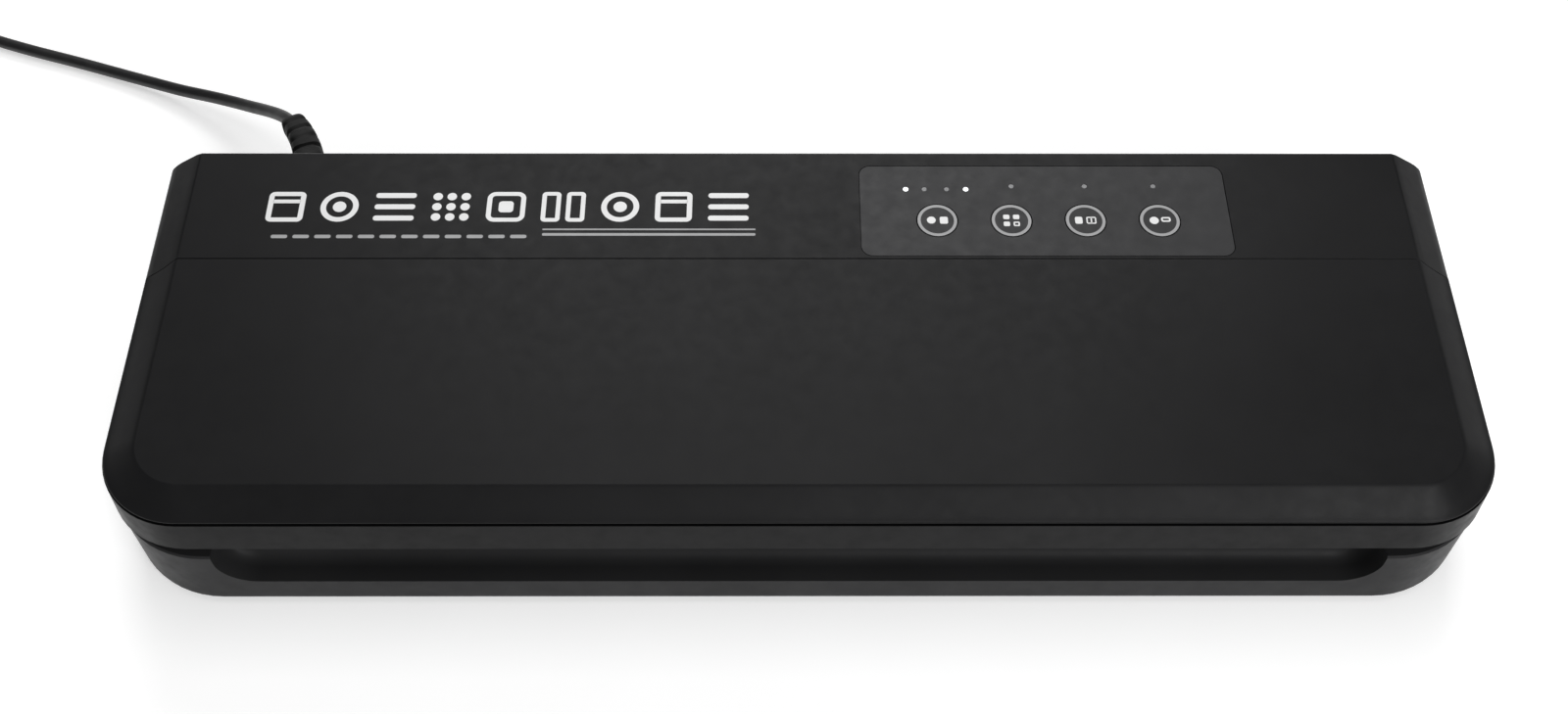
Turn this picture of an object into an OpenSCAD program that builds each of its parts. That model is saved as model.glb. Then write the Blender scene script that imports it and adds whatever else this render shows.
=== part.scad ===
// Household vacuum sealer: a low wide body with a front hinged lid, a fixed rear
// section with four round keys, a sealing bar, a vacuum chamber and a small pump.

/* [Body] */
// Length of the upper shell, left to right
body_l = 366.4; // [362:0.2:370]
// Depth, front to rear
body_d = 120; // [120:0.5:121]
// Height to the top face, feet included
body_h = 52; // [51.8:0.1:52.4]
// Plan radius of the upper shell's front corners
corner_r = 23; // [18:1:28]
// Width of the sloping band along the front of the top face
bevel_w = 8.2; // [7:0.1:9]
// Width of the sloping band at the two ends of the top face
bevel_s = 10.6; // [10:0.1:11]
// Height of the rubber feet below the base
foot_h = 2; // [1.5:0.1:2]
// Wall thickness of the shells
wall = 2.2; // [1.8:0.1:2.4]

/* [Lid] */
// Depth of the lid, from the front to the seam
lid_d = 80; // [79.8:0.1:80.2]
// Largest gap at the seam between lid and rear cover
seam = 0.8; // [0.7:0.1:1]
// Height of the lid's bottom edge
lid_z = 31.6; // [31.5:0.1:32]
// Height of the groove between the lid frame and the lid shell
groove_z = 44.3; // [44:0.1:44.8]

/* [Scoop] */
// Length of the bag entry in the front of the base
scoop_l = 312; // [300:1:316]
// Height of the scoop's floor
scoop_z = 13.6; // [13:0.1:14.4]
// Depth of the scoop
scoop_d = 9.5; // [8:0.5:10]

/* [Keys] */
// Radius of a key cap
key_r = 5.7; // [5:0.1:5.8]
// Distance between neighbouring keys
key_pitch = 21; // [20:0.1:21]
// Travel of a key
key_travel = 0.4; // [0.2:0.1:0.4]

/* [Cord] */
// Diameter of the power cord
cord_d = 4; // [3.6:0.1:4]

/* [Hidden] */
hw = body_l/2;
top_h = body_h - 0.05;    // top of the rear cover, its panel and keys
yf = -body_d/2;
yr = body_d/2;
ys = yf + lid_d;          // seam plane, lid side
yc = ys + seam;           // seam plane, cover side
bz = foot_h;              // underside of the base
rim = 27;                 // top of the base's rim
deck = 30;                // top of the chamber deck
hy = 28; hz = 46;         // hinge axis
key_x0 = 39.4; key_y = 34.1;
led_p = [[30.9,45.5],[48.1,45.5],[61.2,46.6],[82.2,46.6],[101.9,46.6]];
icon_p = [[36.2,45.5],[42.6,45.5]];
my = 42.5; mz = 20;       // motor axis
cr = cord_d/2;
cx = -320; cy = 136;      // centre of the stored coil
// the cord's route from the strain relief's tip to the coil
cord_pts = [[-157.4,93.7,25.4],[-160.9,98.2,23.2],[-165.2,102.6,20.3],[-170,106.6,17.4],[-175.9,111.1,14],
  [-183.1,116,10.8],[-192.5,121.3,7.7],[-203.9,126.4,5.2],[-216.3,131.7,3.7],[-230,137,2.9],[-244,142,2.6],
  [-258,146.5,2.6],[-272,151.5,2.6],[-284,156.5,2.6],[-294,160.3,2.6],[-303,163,2.6]];
// from the coil to the plug
tail_pts = [[-349,124,6.5],[-349.8,117,5.7],[-349.3,110,4.2],[-347.4,103,2.9],[-344.2,97,2.3],[-340,91.5,2.8],[-336.8,86.5,4.4],[-335,82,6.2]];
// the strain relief's bent tail
relief_pts = [[-147,60,30],[-147.2,66,30],[-147.9,71.6,29.8],[-149.2,76.8,29.4],[-151,81.6,28.8],[-153.1,86.2,27.9],[-155.3,90.2,26.8],[-157.4,93.7,25.4]];
hose_pts = [[-12.5,30,44.5],[-12.5,28,44.4],[-12.5,26.5,43.2],[-12.5,25.8,41],[-12.5,25.7,37],
  [-12.5,25.7,30],[-12.5,25.6,26],[-12.5,25.2,23],[-12.5,24,21],[-12.5,22,20.1],[-12.5,19.5,20],[-12.5,9,20]];

// ---- helpers ----
module ex(z0,z1) translate([0,0,z0]) linear_extrude(z1-z0) children();
module bx(a,b) translate(a) cube(b-a);
module cylx(x0,x1,y,z,r) translate([x0,y,z]) rotate([0,90,0]) cylinder(h=x1-x0, r=r, $fn=64);
module cyly(y0,y1,x,z,r) translate([x,y0,z]) rotate([-90,0,0]) cylinder(h=y1-y0, r=r, $fn=48);
module cylz(z0,z1,x,y,r) translate([x,y,z0]) cylinder(h=z1-z0, r=r, $fn=48);
module lr() { children(); mirror([1,0,0]) children(); }

// plan outline with round front corners and cut rear corners, drawn inwards by i
module plan(h, r, i=0, c1=5, c2=4) {
  a = h-i; f = yf+i; b = yr-i; q = r-i; u = max(c1-i*0.4,0.5); v = max(c2-i*0.4,0.5);
  polygon([[-a,f+q],[-a+q,f],[a-q,f],[a,f+q],[a,b-v],[a-u,b],[-a+u,b],[-a,b-v]]);
  for (s=[-1,1]) translate([s*(a-q),f+q]) circle(r=q, $fn=96);
}
// rounded rectangle from exact arcs
module rr(x0,y0,x1,y1,r) {
  translate([x0+r,y0]) square([x1-x0-2*r,y1-y0]);
  translate([x0,y0+r]) square([x1-x0,y1-y0-2*r]);
  for (x=[x0+r,x1-r], y=[y0+r,y1-r]) translate([x,y]) circle(r=r, $fn=48);
}
function arc(x,y,r,a0,a1,n) = [for (i=[0:n]) let(a=a0+(a1-a0)*i/n) [x+r*cos(a), y+r*sin(a)]];
function outline(a,f,b,r,u,v,n=14) = concat([[a,b-v],[a-u,b],[-a+u,b],[-a,b-v]],
  arc(-a+r,f+r,r,180,270,n), arc(a-r,f+r,r,270,360,n));
// stack of outlines joined into one solid; each level is [z, side inset, front inset, rear inset]
module loft(L, h, r, c1, c2) {
  R = [for (l=L) outline(h-l[1], yf+l[2], yr-l[3], r-(l[1]+l[2])/2, max(c1-l[1]*0.3,0.6), max(c2-l[1]*0.3,0.6))];
  n = len(R[0]); m = len(L);
  P = [for (j=[0:m-1]) for (p=R[j]) [p[0],p[1],L[j][0]]];
  F = concat([[for (i=[0:n-1]) i]], [[for (i=[0:n-1]) n*m-1-i]],
    [for (j=[0:m-2]) for (i=[0:n-1]) for (t=[0,1]) let(k=(i+1)%n, o=j*n)
      t==0 ? [o+i, o+n+i, o+n+k] : [o+i, o+n+k, o+k]]);
  polyhedron(points=P, faces=F);
}
function lev(z,i,r) = [z,i,i,r];
// the sloping band: share t of its width at height z, with rear inset r
function band(z,t,r) = [z,bevel_s*t,bevel_w*t,r];
top_o = [band(groove_z+0.4,0,0),band(45.5,0.055,0),band(46.6,0.19,0.05),band(50.5,0.75,0.4),band(51.6,0.92,0.8),band(body_h,1,1.3)];
top_i = [[groove_z-2,wall,wall,wall],[44.4,wall+0.7,wall+0.7,wall],[body_h-2,wall+9.5,wall+7.1,wall+1]];
cov_o = concat([[deck,-1.5,0,0],[groove_z,-0.2,0,0]], [for (i=[0:4]) top_o[i]], [band(top_h,0.99,1.25)]);
cov_i = concat([[deck-1,wall-1.6,wall,wall],[groove_z-2.1,wall-0.3,wall,wall]], top_i);
base_o = [lev(bz,3.3,3.3),lev(bz+0.35,1.9,1.9),lev(bz+1.05,0.9,0.9),lev(bz+2,0.25,0.25),lev(bz+3.3,0,0),lev(rim-0.6,0,0),lev(rim,0.5,0)];

// tube swept along points with a radius at each end
function unit(v) = v/norm(v);
function tang(P,i) = unit(P[min(i+1,len(P)-1)]-P[max(i-1,0)]);
function side(t) = let(c=cross(t,[0,0,1])) norm(c)<0.2 ? unit(cross(t,[1,0,0])) : unit(c);
module tube(P, r0, r1, s=8) {
  n = len(P);
  Q = [for (i=[0:n-1]) let(t=tang(P,i), u=side(t), v=cross(t,u), r=r0+(r1-r0)*i/(n-1))
        for (k=[0:s-1]) P[i]+r*(cos(360*k/s)*u+sin(360*k/s)*v)];
  F = concat([[for (k=[0:s-1]) k]], [[for (k=[0:s-1]) n*s-1-k]],
    [for (i=[0:n-2]) for (k=[0:s-1]) for (t=[0,1]) let(q=(k+1)%s, o=i*s)
      t==0 ? [o+k,o+s+k,o+s+q] : [o+k,o+s+q,o+q]]);
  polyhedron(points=Q, faces=F);
}
module arm_slot() lr() bx([156.5,16,33.5],[163.5,26,50.1]);

// ---- housing ----
module scoop(e=0) {
  w = scoop_l/2+e; z = scoop_z-e; r = 10+e; top = 40; q = 5+e; yb = yf+scoop_d;
  S = concat([[yf-12,z],[yb-5,z]], [for (a=[15:15:90]) [yb-5+q*sin(a), z+q*(1-cos(a))]]);
  R = [for (k=S) concat([for (p=concat([[-w,top]], arc(-w+r,k[1]+r,r,180,270,12), arc(w-r,k[1]+r,r,270,360,12), [[w,top]])) [p[0],k[0],p[1]]])];
  n = len(R[0]); m = len(S);
  polyhedron(points=[for (j=R) for (p=j) p], faces=concat([[for (i=[0:n-1]) n-1-i]], [[for (i=[0:n-1]) n*(m-1)+i]],
    [for (j=[0:m-2]) for (i=[0:n-1]) for (t=[0,1]) let(k=(i+1)%n, o=j*n)
      t==0 ? [o+i, o+n+k, o+n+i] : [o+i, o+k, o+n+k]]));
}
module base_plan(i=0) plan(hw+2.8, 28, i);
module base_shell() color("#232427") difference() {
  union() {
    difference() { loft(base_o, hw+2.8, 28, 5, 4); ex(bz+wall, rim+1) base_plan(wall+0.8); }
    difference() { ex(rim-2, rim) base_plan(1); ex(rim-3, rim+1) base_plan(12.8); bx([-200,yc,0],[200,70,40]); }
    intersection() { ex(bz+1, rim) base_plan(1); scoop(wall); }
    intersection() {
      difference() { ex(rim-1, deck) plan(hw+1.5, corner_r+2, 0, 2, 2); ex(rim-2, deck+1) plan(hw+1.5, corner_r+2, wall, 2, 2); }
      bx([-200,yc,0],[200,70,40]);
    }
    difference() { bx([-hw+0.1,yc,bz+1],[hw-0.1,yc+2.2,deck]); cyly(yc-1,yc+3,-12.5,20,3); }
    lr() for (x=[[152.5,157],[163,167.5]]) { bx([x[0],24.5,bz],[x[1],31.5,hz]); cylx(x[0],x[1],hy,hz,3); }
    for (x=[-168,-95,95,168]) cylz(bz,12,x, abs(x)>100?50:53,4.2);
    for (x=[24,136], y=[29,45]) cylz(bz,8,x,y,3);
    lr() bx([153.5,-28,bz],[155.5,-12,24]);
    bx([-153,50,bz+1],[-141,57,24.2]);
  }
  scoop();
  intersection() { bx([-144,yf-5,bz+wall],[144,yf+scoop_d,scoop_z-wall]); ex(0,50) base_plan(wall+0.8); }
  lr() cylx(152,168,hy,hz,1.5);
  for (x=[-150,150], y=[-42,42]) cylz(bz-1,bz+1,x,y,7);
  for (x=[-168,-95,95,168]) { cylz(bz-1,9,x,abs(x)>100?50:53,3.3); cylz(8,13,x,abs(x)>100?50:53,1.7); }
  lr() bx([183,-30.5,8.5],[190,-9.5,19.5]);
  cyly(49,63,-147,30,5.1);
}
module chamber_deck() color("#2b2c30") difference() {
  union() {
    intersection() { ex(rim, deck) plan(hw-5.6, 20, 8.5); bx([-200,-60,0],[200,yc,40]); }
    bx([-151.2,-25.2,16],[151.2,5.2,rim+1]);
    bx([-155,-47,22],[155,-34.8,rim+1]);
    cyly(5,9.5,-12.5,20,2.0);
  }
  bx([-scoop_l/2,yf-5,rim-5],[scoop_l/2,yf+scoop_d,deck+1]);
  bx([-149,-23,18],[149,3,deck+1]);
  bx([-153,-45.2,24],[153,-36.8,deck+1]);
  cyly(0,10,-12.5,20,1.2);
  ex(28.5, deck+1) ringplan();
  lr() bx([164,-29,rim-1],[175,-14,deck+1]);
}
// plan of the gasket ring
module ringplan(e=0) difference() { rr(-161-e,-33-e,161+e,13+e,9+e); rr(-154+e,-26+e,154-e,6-e,4-e); }
module rear_cover() color("#232427") difference() {
  union() {
    difference() {
      intersection() {
        loft(cov_o, hw, corner_r, 1.6, 1.6);
        union() { bx([-200,yc,deck],[200,70,60]); cylx(-200,200,hy,hz,9.3); }
      }
      intersection() {
        loft(cov_i, hw, corner_r, 1.6, 1.6);
        union() { bx([-200,yc+2,0],[200,70,60]); cylx(-200,200,hy,hz,7.3); }
      }
    }
    for (x=[-168,-95,95,168]) cylz(12.2,50.5,x,abs(x)>100?50:53,3.8);
    for (x=[24,116], y=[28.5,46.5]) cylz(45,50.5,x,y,2.6);
  }
  ex(top_h-0.8, body_h+1) rr(17.5,21.4,122.5,54.3,3.5);
  for (i=[0:3]) cylz(40,60,key_x0+key_pitch*i,key_y,6.1);
  for (p=concat(led_p,icon_p)) cylz(40,60,p[0],p[1],1.2);
  for (x=[-168,-95,95,168]) cylz(12,26,x,abs(x)>100?50:53,1.4);
  for (x=[24,116], y=[28.5,46.5]) cylz(44,49,x,y,1.2);
  arm_slot();
  cyly(49,63,-147,30,5.1);
}
module control_panel() color("#45464a") difference() {
  ex(top_h-0.8, top_h) rr(17.7,21.6,122.3,54.1,3.3);
  for (i=[0:3]) cylz(50,60,key_x0+key_pitch*i,key_y,key_r+0.25);
  for (p=concat(led_p,icon_p)) cylz(50,60,p[0],p[1],0.8);
}
module indicator_lenses() color("white") for (p=concat(led_p,icon_p)) cylz(body_h-2,top_h,p[0],p[1],0.8);
module key(i) color("#45464a") translate([key_x0+key_pitch*i,key_y,0]) {
  cylz(top_h-0.8,top_h,0,0,key_r); cylz(47.4,top_h-0.7,0,0,4.7);
}
module key_mode() key(0);
module key_vac_seal() key(1);
module key_seal() key(2);
module key_vacuum() key(3);

// ---- electronics ----
module control_board() color("#1d4d2b") difference() {
  bx([20.5,26,43.4],[119.5,49,45]);
  for (x=[24,116], y=[28.5,46.5]) cylz(43,46,x,y,1.3);
}
module tact_switches() color("#222222") for (i=[0:3]) translate([key_x0+key_pitch*i,key_y,45]) {
  translate([-3,-3,0]) cube([6,6,1.4]); cylinder(h=1.9, r=1.6, $fn=32);
}
module status_leds() color("ivory") for (p=concat(led_p,icon_p)) cylz(45,body_h-2,p[0],p[1],0.9);
module power_board() color("#1d4d2b") difference() {
  bx([20,26,8],[140,48,9.6]);
  for (x=[24,136], y=[29,45]) cylz(7,11,x,y,1.6);
}
module transformer() color("#c9a227") { bx([34,28,9.6],[62,46,13]); bx([38,29,13],[58,45,32]); bx([34,28,32],[62,46,35]); }
module capacitors() color("#3b3f8f") { cylz(9.6,27,76,37,6); cylz(9.6,21,91,41,4); cylz(9.6,21,91,31,4); }
module relay() color("#2f6fb0") bx([104,30,9.6],[123,45,25]);
module board_screws() color("silver") {
  for (x=[24,136], y=[29,45]) { cylz(9.6,11.4,x,y,2.8); cylz(8,9.7,x,y,1.5); }
  for (x=[24,116], y=[28.5,46.5]) { cylz(41.8,43.4,x,y,2.4); cylz(43.3,48,x,y,1.15); }
}

// ---- pump ----
module motor_can() color("silver") difference() {
  cylx(-62,-24,my,mz,12); cylx(-63,-25.5,my,mz,10.8); cylx(-26,-23,my,mz,3.5);
}
module motor_end_cap() color("#dddddd") difference() { cylx(-66,-62,my,mz,12); cylx(-65,-61,my,mz,3.5); }
module motor_magnets() color("#333333") difference() {
  cylx(-58,-30,my,mz,10.8); cylx(-59,-29,my,mz,8.9); bx([-60,my-2,mz-12],[-28,my+2,mz+12]);
}
module motor_bushings() color("#b08d57") for (x=[[-65,-62],[-25.5,-23.5]]) difference() {
  cylx(x[0],x[1],my,mz,3.5); cylx(x[0]-1,x[1]+1,my,mz,1.2);
}
module motor_rotor() color("#8a4b20") { cylx(-55,-32,my,mz,8.3); cylx(-64.5,-15.6,my,mz,1.15); cylx(-61,-57,my,mz,3.4); }
module crank_disc() color("#d8d8d8") {
  difference() { cylx(-20,-15.6,my,mz,5); cylx(-21,-15.6,my,mz,1.15); }
  cylx(-15.6,-9,my+2.5,mz,1.2);
}
module pump_crankcase() color("#e4e4e0") difference() {
  bx([-23.5,28.6,6],[-4,56.4,37.6]);
  bx([-21.5,30.6,8],[-3,54.4,35.6]);
  cylz(35,39,-12.5,my,8);
  cylx(-25,-20,my,mz,4.2);
}
module pump_yoke() color("#f0f0ec") {
  difference() {
    bx([-14.5,my-8,mz-9],[-10.5,my+8,mz+9]);
    bx([-15,my-5,mz-6.3],[-10,my+5,mz+6.3]);
  }
  cylz(mz+8.9,34,-12.5,my,2);
  cylz(33.9,36.9,-12.5,my,5);
}
module pump_diaphragm() color("#303030") cylz(37.6,38.6,-12.5,my,9.8);
module pump_head() color("#e4e4e0") difference() {
  union() { bx([-22.5,31,38.6],[-2.5,54,47]); cyly(28,32,-12.5,44.5,1.6); }
  cylz(38,42,-12.5,my,8);
  cyly(27,40,-12.5,44.5,0.9);
}
module vacuum_hose() color("#d9d9d9") tube(hose_pts, 2.3, 2.3, 10);
module pump_mounts() color("#202020") {
  bx([-21,32,bz+wall],[-7,53,6]);
  difference() { bx([-56,my-8,bz+wall],[-32,my+8,13]); cylx(-60,-30,my,mz,12); }
}

// ---- sealing ----
module heater_bar() color("#7a5a3a") bx([-152.6,-44.8,24],[152.6,-37.2,30.4]);
module heating_element() color("#b9b9b9") bx([-151,-42.5,30.4],[151,-39.5,30.6]);
module ptfe_tape() color("#b5966a") bx([-152,-44.6,30.6],[152,-37.4,30.8]);
module base_gasket() color("#1a1a1a") ex(28.5, 31) ringplan(-0.1);
module lid_gasket() color("#1a1a1a") ex(31.4, 38.5) ringplan(-0.3);
module press_strip() color("#c9c9c9") bx([-152,-43.4,31.2],[152,-38.6,38.5]);

// ---- lid ----
module lid_space() difference() { bx([-200,-70,0],[200,ys,60]); cylx(-201,201,hy,hz,9.6); }
module lid_shell() color("#232427") intersection() {
  union() {
    difference() { loft(top_o, hw, corner_r, 1.6, 1.6); loft(top_i, hw, corner_r, 1.6, 1.6); }
    for (x=[-110,-36,36,110]) cylz(41,49.6,x,-51,3);
    lr() cylz(41,49.6,172,4,3);
  }
  lid_space();
}
module lid_plan(i=0) plan(hw+0.2, corner_r, i);
module lid_frame() color("#26272a") {
  difference() {
    intersection() {
      difference() { loft([[lid_z,-0.8,0.5,0],[lid_z+0.6,-1.2,0,0],[groove_z,-0.2,0,0]], hw, corner_r, 1.6, 1.6); ex(lid_z-1, groove_z+1) lid_plan(wall-0.2); }
      lid_space();
    }
  }
  difference() {
    union() {
      intersection() { ex(38.5,41) lid_plan(1); bx([-200,-70,0],[200,18.2,60]); }
      intersection() { ex(lid_z,groove_z) lid_plan(1); bx([-200,16,0],[200,18.2,60]); }
      ex(34,39) difference() { rr(-162.6,-34.6,162.6,14.6,10.6); ringplan(); rr(-152.5,-24.5,152.5,4.5,3); }
      bx([-153.5,-45.4,34],[153.5,-43.7,39]);
      bx([-153.5,-38.3,34],[153.5,-36.6,39]);
      difference() { intersection() { ex(groove_z-4,44.6) lid_plan(wall+0.9); bx([-200,-70,0],[200,14,60]); } ex(38,48) lid_plan(wall+2.6); }
    }
    for (x=[-110,-36,36,110]) cylz(38,48,x,-51,1.5);
    lr() cylz(38,48,172,4,1.5);
  }
  lr() difference() {
    union() {
      translate([157.5,0,0]) rotate([90,0,90]) linear_extrude(5)
        polygon([[16.5,34.5],[23,34.5],[29.5,43.4],[28,46],[25.2,45.4],[21.3,40.2],[16.5,40.2]]);
      cylx(157.5,162.5,hy,hz,3);
    }
    cylx(157,163,hy,hz,1.56);
  }
}
module latch_hooks() color("#3a3b3f") lr() {
  bx([168,-24,21.2],[171,-16,38.5]); bx([165.5,-24,21.2],[168.5,-16,24]);
}
module lid_screws() color("silver") {
  for (x=[-110,-36,36,110]) { cylz(36.7,38.5,x,-51,2.8); cylz(38.4,41,x,-51,1.4); }
  lr() { cylz(36.7,38.5,172,4,2.8); cylz(38.4,41,172,4,1.4); }
}
module hinge_pins() color("silver") lr() cylx(152.5,167.5,hy,hz,1.5);
module release_button() {
  bx([180,-30,9],[hw+3.6,-10,19]);
  for (y=[-30,-12.5]) bx([163,y,14],[180.5,y+2.5,19]);
  bx([163,-30,16.5],[167.4,-10,19]);
}
module release_button_left() color("#2c2d31") mirror([1,0,0]) release_button();
module release_button_right() color("#2c2d31") release_button();
module release_spring() difference() { cylx(155.5,163,-20,17.5,2); cylx(155,164,-20,17.5,1.3); }
module release_spring_left() color("silver") mirror([1,0,0]) release_spring();
module release_spring_right() color("silver") release_spring();
module rubber_feet() color("#151515") for (x=[-150,150], y=[-42,42]) cylz(0,bz+1,x,y,6.9);
module base_screws() color("silver") for (x=[-168,-95,95,168]) {
  y = abs(x)>100?50:53; cylz(6.2,8,x,y,3); cylz(7.9,22,x,y,1.35);
}

// ---- cord ----
module cord_strain_relief() color("#111111") {
  cyly(52.5,60,-147,30,5); cyly(53,56.5,-147,30,6.3);
  tube(relief_pts, 5.4, 3.6, 12);
}
module cord_clamp() color("#3a3b3f") { bx([-153,47,24.2],[-141,49.8,31]); bx([-153,47,bz+wall],[-141,49.8,24.3]); }
module power_cord() color("#111111") { tube(cord_pts, cr, cr, 8); tube(tail_pts, cr, cr, 8); }
module cord_coil() color("#111111") translate([cx,cy,0]) rotate_extrude($fn=96)
  translate([16,0.6]) square([16, 7.5]);
module cord_tie() color("#1d1d1d") translate([cx,cy,0]) rotate([0,0,-60]) difference() {
  bx([14.8,-4,0],[33.2,4,9.2]); bx([16,-5,0.6],[32,5,8.1]);
}
module plug_body() color("#111111") { ex(0,13.6) translate([-335,0]) polygon([[-17.5,34],[17.5,34],[17.5,44],[7,66],[-7,66],[-17.5,44]]); }
module plug_pins() color("silver") for (x=[-344.5,-325.5]) cyly(16,34,x,6.8,2);
module plug_relief() color("#111111") tube([[-335,66,6.8],[-335,74,6.8],[-335,82,6.2]], 4.2, 2.8, 12);

base_shell();
chamber_deck();
rear_cover();
control_panel();
indicator_lenses();
control_board();
tact_switches();
status_leds();
power_board();
transformer();
capacitors();
relay();
board_screws();
motor_can();
motor_end_cap();
motor_magnets();
motor_bushings();
motor_rotor();
crank_disc();
pump_crankcase();
pump_yoke();
pump_diaphragm();
pump_head();
vacuum_hose();
pump_mounts();
heater_bar();
heating_element();
ptfe_tape();
base_gasket();
hinge_pins();
rubber_feet();
base_screws();
release_button_left();
release_button_right();
release_spring_left();
release_spring_right();
lid_shell();
lid_frame();
lid_gasket();
press_strip();
latch_hooks();
lid_screws();
key_mode();
key_vac_seal();
key_seal();
key_vacuum();
cord_strain_relief();
cord_clamp();
power_cord();
cord_coil();
cord_tie();
plug_body();
plug_pins();
plug_relief();
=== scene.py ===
import bpy, bmesh, math
from mathutils import Vector, Matrix


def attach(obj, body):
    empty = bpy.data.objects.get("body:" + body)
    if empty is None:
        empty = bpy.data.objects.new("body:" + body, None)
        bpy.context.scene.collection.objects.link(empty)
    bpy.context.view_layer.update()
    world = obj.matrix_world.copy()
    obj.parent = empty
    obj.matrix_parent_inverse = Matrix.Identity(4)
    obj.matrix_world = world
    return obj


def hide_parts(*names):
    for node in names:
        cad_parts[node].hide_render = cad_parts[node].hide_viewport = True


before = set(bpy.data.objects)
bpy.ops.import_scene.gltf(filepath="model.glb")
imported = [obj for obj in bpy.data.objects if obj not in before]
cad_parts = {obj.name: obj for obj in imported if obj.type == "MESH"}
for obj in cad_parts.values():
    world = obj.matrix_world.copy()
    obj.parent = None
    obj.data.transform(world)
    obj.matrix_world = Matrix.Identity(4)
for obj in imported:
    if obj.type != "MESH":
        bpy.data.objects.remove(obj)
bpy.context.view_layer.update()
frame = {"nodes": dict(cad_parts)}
N = frame["nodes"]
MM = 0.001

# ------------------------------------------------------------------ camera
def look_matrix(loc, pitch, yaw, roll):
    t, y, r = math.radians(pitch), math.radians(yaw), math.radians(roll)
    F = Vector((math.sin(y)*math.cos(t), math.cos(y)*math.cos(t), -math.sin(t)))
    R = Vector((math.cos(y), -math.sin(y), 0.0))
    U = R.cross(F)
    R2 = R*math.cos(r) + U*math.sin(r)
    U2 = -R*math.sin(r) + U*math.cos(r)
    m = Matrix((( R2.x, U2.x, -F.x, loc[0]), (R2.y, U2.y, -F.y, loc[1]), (R2.z, U2.z, -F.z, loc[2]), (0, 0, 0, 1)))
    return m

cam_data = bpy.data.cameras.new("camera")
cam_data.sensor_width = 36.0
cam_data.lens = 1827.094/1600.0*36.0
cam_data.clip_start = 0.01
cam_data.clip_end = 20.0
cam = bpy.data.objects.new("camera", cam_data)
bpy.context.scene.collection.objects.link(cam)
cam.matrix_world = look_matrix((-0.006144, -0.282141, 0.449177), 55.84, 0.438, 0.355)
bpy.context.scene.camera = cam

# ------------------------------------------------------------------ materials
def _n(nt, kind, x=0, y=0, **inp):
    n = nt.nodes.new(kind)
    n.location = (x, y)
    for k, v in inp.items():
        n.inputs[k].default_value = v
    return n

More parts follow.
